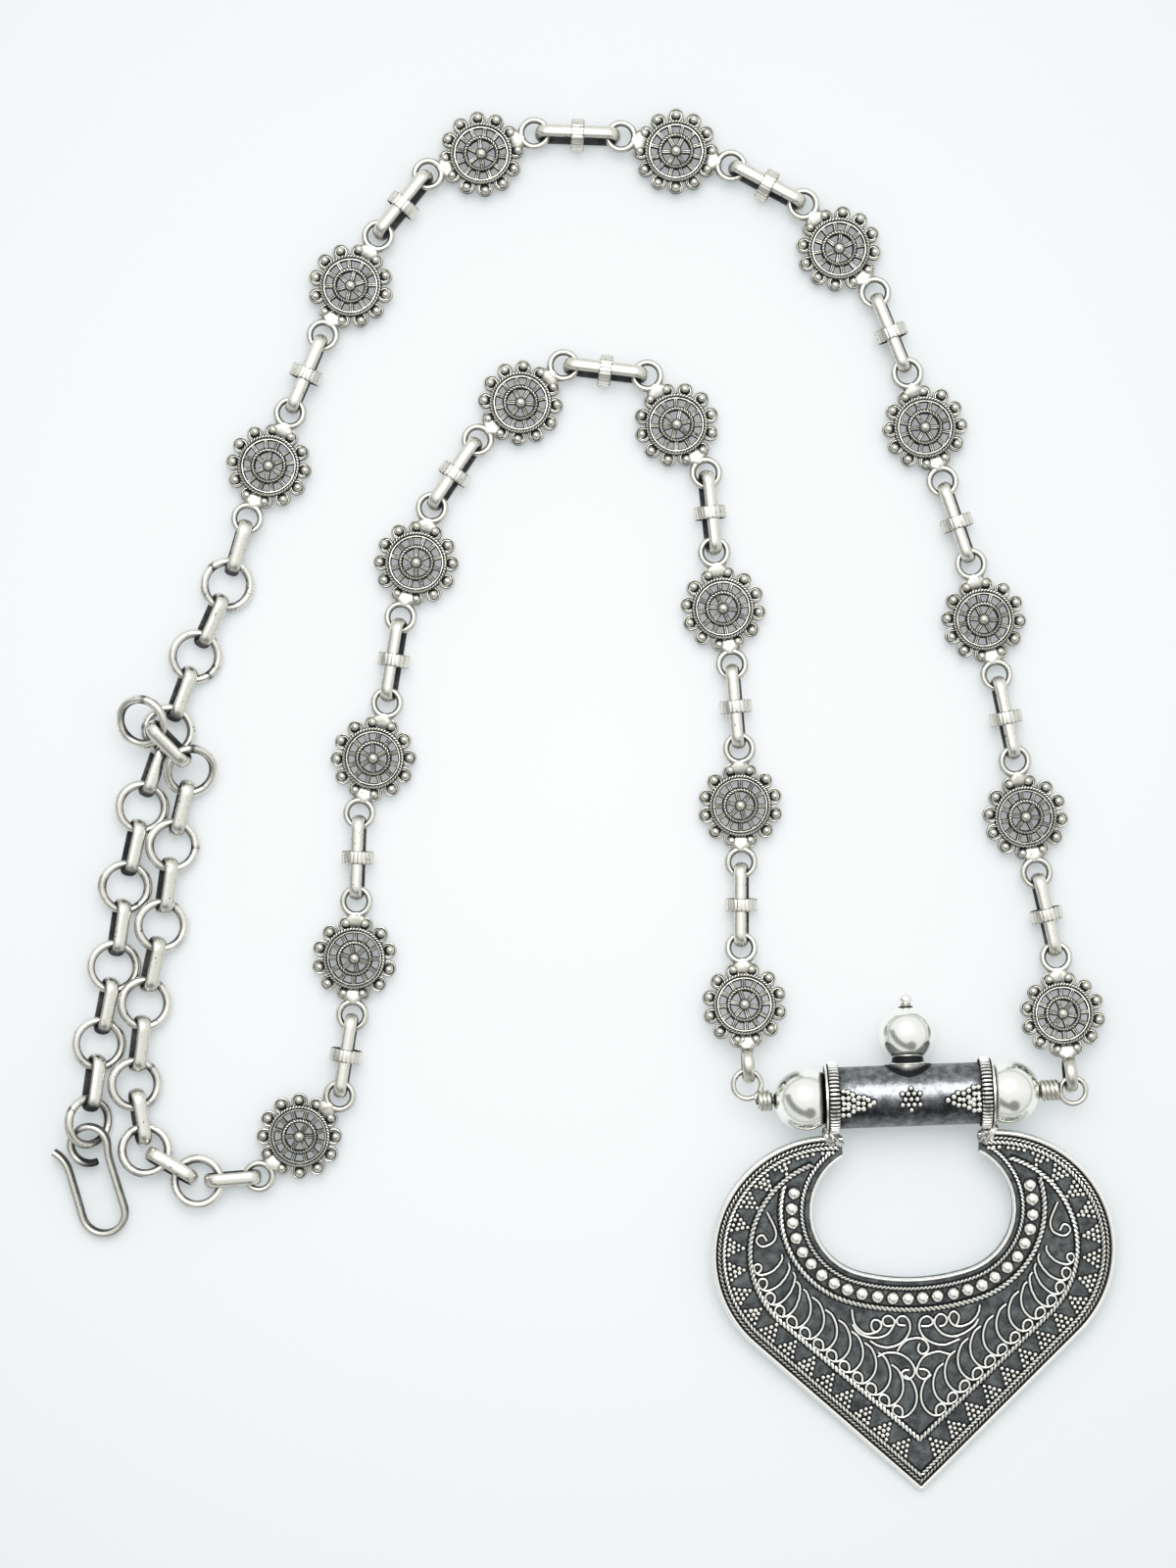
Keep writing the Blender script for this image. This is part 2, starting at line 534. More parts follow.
# columns: wheel's axis, heading of the next link, loop centre to loop centre, lean of the link
strandRows = {
    "outer": [(96, 103, 14.1, -4), (101, 102, 14.4, -5), (103, 109, 14.3, 12), (108, 112, 14.2, 10),
              (129, 152, 13.4, -9), (165, 178, 14.2, -15), (201, 231, 13, -15), (241, 247, 13.8, 0),
              (248, 0, 0, 0)],
    "inner": [(93, 90, 13.9, 10), (91, 95, 13.8, 8), (99, 96, 13, -14), (121, 173, 13.8, -14),
              (221, 236, 13.4, -12), (254, 261, 14.2, -14), (256, 268, 14.4, -6), (268, 261, 13.4, -2),
              (225, 0, 0, 0)]}
starts = {"outer": (79.3, -44.67), "inner": (26.9, -43.22)}
linkForm = {
    "len": 14.1, "h": 4.4, "w": 2.1, "t": 1.0, "z": 2.7, "dullEnd": 0.12,  # bar, and its middle's height
    "collarR": 2.7, "collarW": 2.1, "collarIn": 2.15,
    "flutes": 22, "perFlute": 8, "grooveDeep": 0.35, "shallowest": 0.12, "deeper": 0.2, "ridge": 0.35,
}
uprightZ = 5.3
firstTilt = np.degrees(np.arcsin((uprightZ - linkForm["z"]) / (wheel["uprightAt"] + wheel["loopAt"])))


def walkStrand(rows, start):  # wheel centres, link centres and the far loop of the last wheel
    wheels, links = [], []
    here = np.array(start) + wheel["uprightAt"] * heading(rows[0][0])
    for k, (axis, toNext, gap, lean) in enumerate(rows):
        wheels.append((here, axis))
        loop = here + wheel["loopAt"] * heading(axis)
        if k < len(rows) - 1:
            links.append((loop + gap / 2 * heading(toNext), toNext, lean))
            here = loop + gap * heading(toNext) + wheel["loopAt"] * heading(rows[k + 1][0])
    return wheels, links, loop


def stadium(length, height, n=14):
    # long oval in the XZ plane: two half circles, the second the first one's mirror
    a = np.linspace(-90, 90, n)
    right = np.stack([(length - height) / 2 + height / 2 * np.cos(np.radians(a)),
                      height / 2 * np.sin(np.radians(a))], -1)
    return np.vstack([right, -right])


barForm = {  # tarnish: low on the oval, at its end, round the section
    "step": 0.32, "lowRate": 2.2, "lowTarnish": 0.55, "endFrom": 1.7, "endRun": 0.5, "most": 0.8,
    "shade": np.array([0.6, 0.25, 0.05, 0.0, 0.0, 0.0, 0.05, 0.25, 0.6, 0.78, 0.78]),
}


def edgeBar(s, length, height, width, thick, dullEnd):
    # half-round bar bent to a long oval on edge; dark inside, below and, by dullEnd, at its far end
    f = barForm
    path = resample(stadium(length - 2 * thick, height - 2 * thick), f["step"], True)
    space = np.column_stack([path[:, 0], np.zeros(len(path)), path[:, 1]])
    low = np.clip(-path[:, 1:] / height * f["lowRate"], 0, 1) * f["lowTarnish"]
    low = low + dullEnd * np.clip((path[:, :1] - length / 2 + f["endFrom"]) / f["endRun"], 0, 1)
    s.sweep(space, halfRound(width, thick), (0, -1, 0), True, np.clip(f["shade"][None] + low, 0, f["most"]))


def ribbedRing(s, profile, dips, shade, middle=0.0, way=1):
    # ring turned round X: the radius of each (radius, x) profile point less its dips round the ring
    p, a = np.array(profile), roundAngles(dips.shape[1])
    radius = p[:, :1] - dips
    x = np.repeat(middle + way * p[:, 1:], len(a), 1)
    grid = np.stack([x, radius * np.cos(a), radius * np.sin(a)], -1)
    s.surface(grid, True, np.clip(shade, 0, 1))


def linkShape(seed):  # oval bar on edge with a collar whose flutes are cosine dips of random depth
    rng = np.random.default_rng(seed)
    s, f = Shape(), linkForm
    edgeBar(s, f["len"], f["h"], f["w"], f["t"], f["dullEnd"])
    a = np.arange(f["flutes"] * f["perFlute"]) / f["perFlute"]
    deep = f["shallowest"] + f["deeper"] * rng.random(f["flutes"])[a.astype(int) % f["flutes"]]
    groove = np.clip(np.cos(2 * np.pi * a) - f["ridge"], 0, 1) * deep
    w, r = f["collarW"] / 2, f["collarR"]
    rows = np.array([  # radius, x, share of the flutes, tarnish, tarnish of the flutes
        (f["collarIn"], -w + 0.05, 0, 1.0, 0), (r - 0.2, -w, 0.6, 0.4, 0.35),
        (r - 0.04, -w + 0.15, 1, 0.1, 0.35), (r, -w + 0.4, 1, 0.0, 0.3), (r, w - 0.4, 1, 0.0, 0.3),
        (r - 0.04, w - 0.15, 1, 0.1, 0.35), (r - 0.2, w, 0.6, 0.4, 0.35),
        (f["collarIn"], w - 0.05, 0, 1.0, 0)])
    ribbedRing(s, rows[:, :2], rows[:, 2:3] * groove * f["grooveDeep"],
               rows[:, 3:4] + (groove > 0.02)[None] * rows[:, 4:])
    return s


number = linkNumber = 0
chainStart = {}
for strand, rows in strandRows.items():
    wheels, links, chainStart[strand] = walkStrand(rows, starts[strand])
    for k, (centre, axis) in enumerate(wheels):
        number += 1
        tilt = firstTilt if k == 0 else 0
        z = linkForm["z"] + (wheel["loopAt"] * np.sin(np.radians(firstTilt)) if k == 0 else 0)
        s = stationShape(100 + number, k == 0).placed(turn("z", axis) @ turn("y", tilt), (*centre, z))
        piece = s.build(f"station{number:02d}", finishes["station"], "medallion_silver")
        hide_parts(f"medallion_{number:02d}")
    for centre, toNext, lean in links:
        s = linkShape(200 + linkNumber).placed(turn("z", toNext) @ turn("x", -lean),
                                               (*centre, linkForm["z"]))
        linkNumber += 1
        piece = s.build(f"link{linkNumber:02d}", finishes["link"], "link_silver")
        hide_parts(f"link_{linkNumber:02d}")
print("stations and links built")

# Ring chains

ringForm = {
    "r": 3.78, "wire": 0.7, "around": 64, "uneven": 0.03, "thinner": 0.02, "thinnest": 0.9,
    "seamRun": 0.1, "seamTarnish": 0.5, "patchTarnish": 0.3, "lowTarnish": 0.3, "innerTarnish": 0.6,
    "ovalLen": 9.6, "ovalH": 4.4, "ovalW": 2.25, "ovalT": 0.85,
}
# columns: heading of the next ring, distance, lean of the oval, the ring's height, tilt, raised side, shift
hookSide = [(253, 11.3, 9, 2.2, 12, 165, 0), (246, 12.8, 22, 2.2, 12, 160, 0),
            (250, 13, 20, 2.2, 10, 160, 0), (251, 13.2, 20, 2.2, 12, 160, -0.2),
            (258, 13.3, 22, 2.25, 12, 165, 0), (262, 13.2, 22, 2.25, 12, 170, 0),
            (259, 12.8, 22, 2.25, 14, 170, 0), (263, 12.7, 26, 3.2, 38, 175, 0)]
ringSide = [(185, 10.1, 0, 2.4, 4, 270, 0), (149, 10, -14, 2.6, 8, 235, 0),
            (99, 10.9, -18, 2.5, 13, 180, 0), (83, 13.3, -22, 2.55, 14, 180, 0),
            (78, 13, -22, 2.5, 14, 180, 0), (82, 13.2, -22, 2.5, 14, 180, 0),
            (76, 12.6, -12, 3.6, 25, 130, 0), (134, 11.1, 13, 6, 24, 45, -0.6)]


def wireHeight(row, at):  # height of a tilted ring's wire on the side at that heading
    return row[3] + ringForm["r"] * np.sin(np.radians(row[4])) * np.cos(np.radians(row[5] - at))


def ringShape(rng):
    # ring of round wire, a little uneven, with a soldered seam and patches of tarnish from two sines
    f, s = ringForm, Shape()
    a = roundAngles(f["around"])
    size = np.clip(1 + f["uneven"] * np.sin(2 * a + rng.random() * 6) - f["thinner"], f["thinnest"], 1.0)
    seam = np.exp(-((a - rng.random() * 6) / f["seamRun"]) ** 2)
    wire = circle(f["wire"], 16)
    patch = np.clip(np.sin(a * 2 + rng.random() * 6) * np.sin(a * 3 + rng.random() * 6), 0, 1)
    dark = roundWear(wire, f["lowTarnish"], f["innerTarnish"])[None]
    dark = dark + (f["patchTarnish"] * patch + f["seamTarnish"] * seam)[:, None]
    s.sweep(lift(circle(f["r"], f["around"])), size[:, None, None] * wire, closed=True,
            tarnish=np.clip(dark, 0, 1))
    return s


def chainShape(rows, start, seed, dullEnd):
    # each ring a step on along its heading, each oval between two wires and sloped by their heights
    rng = np.random.default_rng(seed)
    s, f = Shape(), ringForm
    hole, ringHole = wheel["loopR"] - wheel["loopWire"], f["r"] - f["wire"]
    here = np.array(start)
    for k, row in enumerate(rows):
        toNext, pitch, lean, ringZ, tilt, raised, shift = row
        zBehind = linkForm["z"] if k == 0 else wireHeight(rows[k - 1], toNext)
        zAhead = wireHeight(row, toNext + 180)
        span = pitch - hole - ringHole
        mid = here + (hole + span / 2) * heading(toNext) + shift * heading(toNext + 90)
        oval = Shape()
        edgeBar(oval, f["ovalLen"], f["ovalH"], f["ovalW"], f["ovalT"], dullEnd)
        slope = -np.degrees(np.arctan2(zAhead - zBehind, span))
        s.join(oval.placed(turn("z", toNext) @ turn("y", slope) @ turn("x", -lean),
                           (*mid, (zBehind + zAhead) / 2)))
        here = here + pitch * heading(toNext)
        s.join(ringShape(rng).placed(turn("z", raised) @ turn("y", -tilt), (*here, ringZ)))
        hole = ringHole
    return s


for name, rows, strand, seed, dullEnd, node in (
        ("hookSideChain", hookSide, "outer", 1, 0.85, "extension_chain_hook_side"),
        ("ringSideChain", ringSide, "inner", 2, 0.1, "extension_chain_ring_side")):
    chain = chainShape(rows, chainStart[strand], seed, dullEnd)
    piece = chain.build(name, finishes["chain"], "chain_silver")
    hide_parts(node)

# Hook

hookForm = {
    "rows": [(15.65, -295), (3, 16), (7.5, 0), (11.4, -182), (8, 2), (4, 45)], "start": -155,  # length, turn
    "place": (-79.25, -58.92, 1.7), "pitch": 7.5, "roll": 5.5, "step": 0.35,
    "t": 1.0, "w": 1.9, "edge": 0.16, "shoulder": (0.42, 0.14), "shoulderT": 0.8, "crown": 0.3,  # section
    "eyeDark": 0.75, "eyeFrom": 1.3, "eyeRun": 3,
}


def curvedPath(rows, start):
    # stretches of even curvature, each a length and a turn, in steps of 5 degrees or half a millimetre
    here, at, out = np.zeros(2), float(start), [np.zeros(2)]
    for length, bend in rows:
        n = max(2, int(np.ceil(abs(bend) / 5)), int(length / 0.5))
        for _ in range(n):
            at += bend / n / 2
            here = here + length / n * heading(at)
            at += bend / n / 2
            out.append(here)
    return np.array(out)


def hookShape():  # strip on edge with a domed top, carried along its curves
    s, f = Shape(), hookForm
    line = resample(curvedPath(f["rows"], f["start"]), f["step"])
    t, w, e, (low, high) = f["t"] / 2, f["w"], f["edge"], f["shoulder"]
    right = np.array([(t - e, 0), (t, e), (t, w - low), (t * f["shoulderT"], w - high),
                      (t * f["crown"], w)])
    profile = np.roll(np.vstack([right, onSides(right[::-1], -1)]), 1, 0)  # starts at the left foot
    shade = np.array([0.8, 0.8, 0.7, 0.62, 0.35, 0.0, 0.0, 0.3, 0.55, 0.6])
    run = f["step"] * np.arange(len(line))[:, None]
    eye = f["eyeDark"] * np.clip(f["eyeFrom"] - run / f["eyeRun"], 0, 1)  # dark under the ring
    s.sweep(lift(line), profile, tarnish=np.clip(shade[None] + eye, 0, 1))
    return s.placed(turn("y", -f["roll"]) @ turn("x", f["pitch"]), f["place"])


piece = hookShape().build("hookStrip", finishes["wire"], "wire_silver")
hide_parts("hook")
print("chains and hook built")

# Pendant: beads, wire, tube

pendantPlace = {"at": (53.03, -47.98, 5.9), "turn": 2.1}
tubeForm = {
    "r": 5.0, "half": 11.5, "seatR": 4.2, "seatGap": 0.15, "seatOut": 0.4,  # tube, hollows for the beads
    "collarR": 5.9, "collarW": 2.2, "collarIn": 4.7, "flutes": 52, "perFlute": 10, "fluteDeep": 0.32,
    "ribBase": 0.2, "ribPower": 1.3, "ribDark": 0.95, "darkFrom": 0.22,  # shape and tarnish between ribs
    "ball": 4.5, "ballY": 10.0, "tip": 1.06, "tipY": 15.6,
    "granule": 0.4, "granuleUp": 0.95, "solder": 1.4, "solderIn": 0.02,
}
beadForm = {"r": 5.15, "bore": 0.75, "left": -16.9, "right": 16.2, "boreLength": 0.97, "rimFrom": 0.985,
            "rimRate": 8, "rimTarnish": 0.7}
wireForm = {
    "carrier": 0.6, "tail": 0.6, "endBall": 0.62, "ballOff": 0.5,
    "wrap": 1.35, "wrapWire": 0.42, "perWrap": 26, "lastWrap": 0.35, "coreIn": 0.1, "coreOut": 0.2,
    "leftWraps": (-24.3, -22.5, 3), "rightWraps": (21.65, 24.25, 4),  # from, to, how many
    "leftEye": (-26.2, 2.7, 2.28), "rightEye": (26.7, -0.2, 2.1), "eyeWire": 0.44,  # middle, radius
}


def onPendant(shape):  # a shape drawn round the tube's middle put where the tube lies
    return shape.placed(turn("z", pendantPlace["turn"]), pendantPlace["at"])


def beadShape(x):
    # ball with a bore along X: its circle turned from bore edge to bore edge, then the bore's wall
    s, f = Shape(), beadForm
    a0 = np.arcsin(f["bore"] / f["r"])
    a = np.linspace(a0, np.pi - a0, 48)
    outer = np.stack([f["r"] * np.sin(a), f["r"] * np.cos(a)], -1)
    h = f["r"] * np.cos(a0)
    profile = np.vstack([outer, [[f["bore"], -h * f["boreLength"]], [f["bore"], h * f["boreLength"]]]])
    edge = np.clip((np.abs(outer[:, 1]) - h * f["rimFrom"]) * f["rimRate"], 0, 1) * f["rimTarnish"]
    s.lathe(profile, 72, True, np.concatenate([edge, [1, 1]]), (x, 0, 0), turn("y", 90))
    return s


for side in ("left", "right"):
    bead = onPendant(beadShape(beadForm[side]))
    piece = bead.build("roundBead" + side.title(), finishes["bead"], "polished_silver", 50)
    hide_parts("bead_" + side)


def straight(start, end):  # three points on the X axis
    return np.array([[start, 0, 0], [(start + end) / 2, 0, 0], [end, 0, 0]])


def wireShape():
    # straight wire with a helix of wraps over a thicker core at both ends, and a ring as the eye of each
    s, f = Shape(), wireForm
    x0, x1 = f["leftWraps"][0] - f["tail"], f["rightEye"][0] - f["rightEye"][2]
    s.sweep(np.array([[x0, 0, 0], [0, 0, 0], [x1, 0, 0]]), circle(f["carrier"], 16), tarnish=0.5)
    for low, high, count in (f["leftWraps"], f["rightWraps"]):
        n = count * f["perWrap"]
        a = np.linspace(0, 2 * np.pi * (count - f["lastWrap"]), n)
        path = np.stack([np.linspace(low, high, n), f["wrap"] * np.cos(a), f["wrap"] * np.sin(a)], -1)
        radial = np.stack([np.zeros(n), np.cos(a), np.sin(a)], -1)
        s.sweep(path, circle(f["wrapWire"], 10), radial, tarnish=0.15)
        s.sweep(straight(low - f["coreOut"], high + f["coreOut"]), circle(f["wrap"] - f["coreIn"], 20),
                tarnish=0.9)
    wire = circle(f["eyeWire"], 14)
    for x, y, r in (f["leftEye"], f["rightEye"]):
        s.sweep(lift(circle(r, 48) + np.array([x, y])), wire, closed=True,
                tarnish=roundWear(wire, 0.35) + 0.12)
    s.balls([[x0, f["ballOff"], 0]], f["endBall"], 12, 7, 0.1)
    return s


piece = onPendant(wireShape()).build("beadWire", finishes["wire"], "wire_silver", 40)
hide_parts("bead_wire")


def beadSeat(bead):
    # (radius, x) of the hollow that a bead sits in at the tube's end: the bead's sphere grown by its gap
    r = np.linspace(beadForm["bore"], tubeForm["seatR"], 9)
    reach = np.sqrt((beadForm["r"] + tubeForm["seatGap"]) ** 2 - r ** 2)
    return np.stack([r, bead - np.sign(bead) * reach], -1)


# what changes the tube's tarnish: bands along it, worn and dark (change, middle in degrees from the top,
# spread), its ends (change, run) and the ground round the neck (change, start, run)
tubeWear = {"level": 0.6, "worn": (-0.15, 12, 14), "dark": (0.22, -27, 17), "ends": (0.25, 1.2),
            "neck": (0.3, 2.9, 1.4)}


def tubeShape():
    # plain tube turned round X; its tarnish is a level plus, for each band, a bell curve of the angle
    s, f, wear = Shape(), tubeForm, tubeWear
    end = f["half"] + f["seatOut"]
    wall = [(f["r"], x) for x in np.linspace(-end, end, 25)]
    left, right = beadSeat(beadForm["left"]), beadSeat(beadForm["right"])
    s.lathe(np.vstack([left, wall, right[::-1]]), 96, True, frameTurn=turn("y", 90))
    p = s.points[-1]
    t = np.degrees(np.arctan2(p[:, 1], p[:, 2]))
    level = wear["level"]
    for change, middle, spread in (wear["worn"], wear["dark"]):
        level = level + change * np.exp(-((t - middle) / spread) ** 2)
    change, run = wear["ends"]
    ends = change * np.clip(1 - (f["half"] - np.abs(p[:, 0])) / run, 0, 1)
    change, start, run = wear["neck"]
    neck = change * np.clip(1 - (np.hypot(p[:, 0], p[:, 2]) - start) / run, 0, 1) * (p[:, 1] > 0)
    inside = np.hypot(p[:, 1], p[:, 2]) < f["r"] - 0.1
    s.tarnish[-1] = np.where(inside, 1.0, np.clip(level + ends + neck, 0, 1))
    return s


def flutedCollar(s, way):
    # ring of ribs with a thin lip on the bead's side: the radius dips by a power of a cosine between them
    f = tubeForm
    dip = np.cos(2 * np.pi * np.arange(f["flutes"] * f["perFlute"]) / f["perFlute"])
    dip = np.clip(dip, -f["ribBase"], 1) + f["ribBase"]
    groove = f["fluteDeep"] * dip ** f["ribPower"]
    w, r, inside = f["collarW"] / 2, f["collarR"], f["collarIn"]
    rows = np.array([  # radius, x, share of the ribs, tarnish
        (inside, -w + 0.15, 0, 1.0), (r - 0.45, -w - 0.05, 0.6, 0.7), (r - 0.15, -w + 0.12, 1, 0.1),
        (r, -w + 0.45, 1, 0.0), (r, w - 0.85, 1, 0.0), (r - 0.15, w - 0.6, 1, 0.15),
        (r - 0.4, w - 0.52, 0.5, 0.95), (r - 0.4, w - 0.42, 0, 0.95), (r - 0.2, w - 0.34, 0, 0.2),
        (r - 0.2, w - 0.04, 0, 0.1), (r - 0.35, w, 0, 0.25), (inside, w - 0.15, 0, 0.9)])
    shade = rows[:, 3:] + rows[:, 2:3] * np.clip(groove[None] / f["darkFrom"], 0, 1) * f["ribDark"]
    middle = way * (f["half"] + f["collarW"] / 2)
    ribbedRing(s, rows[:, :2], rows[:, 2:3] * groove[None], shade, middle, way)


def onTube(x, across, high):  # a place on the tube: across is measured round it from the top
    f = tubeForm
    a, r = across / f["r"], f["r"] + high
    return np.stack([x, r * np.sin(a), r * np.cos(a)], -1)


def granules(s, spots, r):  # balls on the tube with a wider, dark ball of solder under each
    f = tubeForm
    s.balls(onTube(spots[:, 0], spots[:, 1], -f["solderIn"]), r * f["solder"], 10, 4, 1.0)
    s.balls(onTube(spots[:, 0], spots[:, 1], f["granule"] * f["granuleUp"]), r, 10, 5, 0.0, 1.0, edge=0.6)


starRows = ((2, (0,)), (1, (-1.5, -0.5, 0.5, 1.5)), (0, (-1, 0, 1)), (-1, (-1.5, -0.5, 0.5, 1.5)),
            (-2, (0,)))
starPitch = (0.95, 0.82, -0.2)
triangleForm = {"rows": (5, 5, 4, 3, 3, 2, 1), "in": 0.5, "rowPitch": 0.84, "pitch": 0.86, "loose": 0.07,
                "shift": 0.5, "size": (1.03, 0.15)}
neckRings = [  # radius, height over the tube or, above 1, from its axis, tarnish
    (4.0, -0.04, 1.0), (3.5, 0.12, 1.0), (3.1, 0.1, 0.95), (2.95, 5.12, 0.5), (3.08, 5.22, 0.05),
    (3.1, 5.32, 0.0), (3.0, 5.44, 0.15), (2.7, 5.5, 0.9), (2.55, 5.6, 1.0), (2.5, 6.3, 1.0),
    (0.3, 6.4, 1.0)]
tipRows = np.array([  # radius, height, tarnish
    (0.05, 14.3, 1), (1.25, 14.3, 1), (1.15, 14.45, 0.9), (0.85, 14.52, 0.8), (0.92, 14.62, 0.1),
    (0.95, 14.75, 0.05), (0.8, 14.85, 0.8), (0.05, 14.9, 0.9)])


def tubeTrim():  # collars, granule groups on dark solder, the neck and the tip
    s, f, tri = Shape(), tubeForm, triangleForm
    for way in (-1, 1):
        flutedCollar(s, way)
    star = np.array([(x * starPitch[0], row * starPitch[1] + starPitch[2])
                     for row, places in starRows for x in places])
    granules(s, star, f["granule"])
    rng = np.random.default_rng(5)
    for way in (-1, 1):
        spots = np.array([(way * (f["half"] - tri["in"] - row * tri["rowPitch"]),
                           (k - (count - 1) / 2) * tri["pitch"])
                          for row, count in enumerate(tri["rows"]) for k in range(count)])
        spots = spots + rng.normal(0, tri["loose"], (len(spots), 2))
        least, more = tri["size"]
        granules(s, spots - np.array([0, tri["shift"]]),
                 f["granule"] * (least + more * rng.random(len(spots))))
    # the neck is a saddle that starts on the tube's surface and rises to a round lip under the ball
    a = roundAngles(64)
    rings = []
    for r, y, _ in neckRings:
        high = np.full(len(a), y) if y > 1 else np.sqrt(f["r"] ** 2 - (r * np.sin(a)) ** 2) + y
        rings.append(np.stack([r * np.cos(a), high, r * np.sin(a)], -1))
    s.surface(np.array(rings), False, np.array(neckRings)[:, 2:])
    s.lathe(tipRows[:, :2], 24, False, tipRows[:, 2], frameTurn=turn("x", -90))
    s.balls([[0, f["tipY"], 0]], f["tip"], 24, 12, 0.0, 0.3)
    return s


def topBall():  # plain ball over the tube
    s = Shape()
    s.balls([[0, tubeForm["ballY"], 0]], tubeForm["ball"], 64, 40, 0.0)
    return s


tubeBody = onPendant(tubeShape()).build("pendantTube", finishes["tube"], "pendant_silver", 40)
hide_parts("pendant")
onPendant(tubeTrim()).build("pendantTubeTrim", finishes["raised"], "pendant_silver", 40)
onPendant(topBall()).build("pendantTopBall", finishes["bead"], "polished_silver", 60)
print("tube, beads and wire built")

# Pendant: crescent

crescent = {
    "rimSide": (13.3, -25.8), "rimR": 19.6, "rimTip": -65.35, "edge": 43.4,  # side circle, point, slope
    "veeSide": (11.3, -25.4), "veeR": 15.4, "veeTip": -56.7,  # the inner vee, drawn the same way
    "corner": (5.9, -18.75), "cornerR": 10.4, "sweepY": 1.3,  # opening: corner circle, large arc
    "hornX": 11.0, "hornRope": 0.6, "hornFine": 0.5,  # where the plate, and short of it its ropes, end
    "plateT": 1.0, "plateRows": 150, "plateColumns": 9, "plateTarnish": (0.62, 0.3), "step": 0.25,
    "rimWidth": 0.74, "rimHigh": 0.75, "rimIn": 0.36, "openingRimIn": 0.34, "openingSlim": 0.8,
    "rimStep": 0.5, "outerRope": 1.2, "outerRopeW": 0.62,  # ropes along the rim
    "innerRope": 1.92, "edgeRopeW": 0.78, "edgePitch": 1.5, "edgeZ": 0.28,
    "fineAt": 1.75, "fineW": 0.7, "finePitch": 1.35, "fineZ": 0.2, "fineStop": -2.7,  # rope at the opening
    "arcAt": 5.2, "arcStop": -0.5, "veeStop": 2.5, "ropeW": 0.95, "ropePitch": 1.6, "ropeZ": 0.33,
    "grainAt": 3.35, "grainR": 1.08, "grainPitch": 2.48, "grainCount": 26, "grainZ": 0.3, "grainFlat": 0.85,
    "clusterPitch": 4.13, "clusterStart": 1.12, "clusterCount": 18, "fullClusters": 15,  # triangles
    "clusterIn": 0.38, "clusterEnd": 14.0, "granuleR": 0.39, "granulePitch": 0.87, "rowPitch": 0.9,
    "granuleZ": 0.22, "grainLoose": 0.05, "granuleLoose": 0.035, "sizeLoose": 0.02,
    "scrollWire": 0.225, "scrollZ": 0.2, "bed": 0.24,
}
sweepR = crescent["cornerR"] + np.hypot(crescent["corner"][0], crescent["corner"][1] - crescent["sweepY"])
cornerAngle = np.degrees(np.arctan2(crescent["corner"][0], crescent["sweepY"] - crescent["corner"][1]))
plateTilt = np.degrees(np.arcsin((pendantPlace["at"][2] - crescent["plateT"]) / -crescent["rimTip"]))


def arcPoints(c, r, a0, a1, n=60):  # points of a circle between two angles
    a = np.radians(np.linspace(a0, a1, n))
    return np.stack([c[0] + r * np.cos(a), c[1] + r * np.sin(a)], -1)


def heart(side, r, tip):
    # right half from the point up to the middle: a straight edge, then an arc of the side circle
    to = np.array([side[0], side[1] - tip])
    edge = np.degrees(np.arctan2(to[1], to[0]) - np.arcsin(r / np.hypot(*to)))
    arc = arcPoints(side, r, edge - 90, 180 - np.degrees(np.arccos(side[0] / r)))
    return resample(np.vstack([[[0, tip]], arc]), crescent["step"])


def rimHalf(inset):  # the plate's outline moved inwards
    c = crescent
    return heart(c["rimSide"], c["rimR"] - inset, c["rimTip"] + inset / np.cos(np.radians(c["edge"])))


def veeHalf():  # outline of the inner vee
    return heart(crescent["veeSide"], crescent["veeR"], crescent["veeTip"])


def openingHalf(grow):  # right half from the bottom middle: the large arc, then the corner arc
    c = crescent
    large = arcPoints((0, c["sweepY"]), sweepR + grow, -90, cornerAngle - 90)
    end = 180 - np.degrees(np.arccos(c["corner"][0] / (c["cornerR"] + grow)))
    small = arcPoints(c["corner"], c["cornerR"] + grow, cornerAngle - 90, end)
    return resample(np.vstack([large, small[1:]]), c["step"])


def bothHalves(half):  # from the left end through the middle to the right end
    return np.vstack([onSides(half[::-1], -1)[:-1], half])


def fromCircle(p, middle, r):  # distance outwards from a circle that both halves have
    return np.hypot(np.abs(p[:, 0]) - middle[0], p[:, 1] - middle[1]) - r


def whileKept(points, drop):  # the points before the first one that lies beside the horn and is dropped
    drop = drop & (points[:, 1] > crescent["corner"][1])
    return points[:np.argmax(drop)] if drop.any() else points


def clipHorn(half, extra=0.0):  # the part of a half outline that lies on the plate
    return whileKept(half, half[:, 0] < crescent["hornX"] + extra)


def plateShape():
    # flat grid between the rim and the opening, its top and bottom one plate's thickness apart
    s, n, m = Shape(), crescent["plateRows"], crescent["plateColumns"]

    def even(half):  # the same number of points on both outlines
        return bothHalves(readAt(half, np.linspace(0, 1, len(half)), np.linspace(0, 1, n)))

    outer, inner = even(clipHorn(rimHalf(0.0))), even(clipHorn(openingHalf(0.0)))
    across = np.linspace(0, 1, m)[None, :, None]
    top = outer[:, None] * (1 - across) + inner[:, None] * across
    top = lift(top.reshape(-1, 2)).reshape(len(outer), m, 3)
    low = top[:, ::-1] - np.array([0, 0, crescent["plateT"]])
    s.surface(np.concatenate([top, low], 1), False, np.repeat(crescent["plateTarnish"], m))
    return s


bed = Shape()  # dark ground that shows round every wire and granule on the plate


def bedUnder(path, width):  # flat strip under a wire, wider by the bed on both sides
    h = width / 2 + crescent["bed"]
    strip = np.array([(-h, -0.1), (-h * 0.9, 0.03), (h * 0.9, 0.03), (h, -0.1)])
    bed.sweep(lift(resample(path, 0.4)), strip, tarnish=1.0)


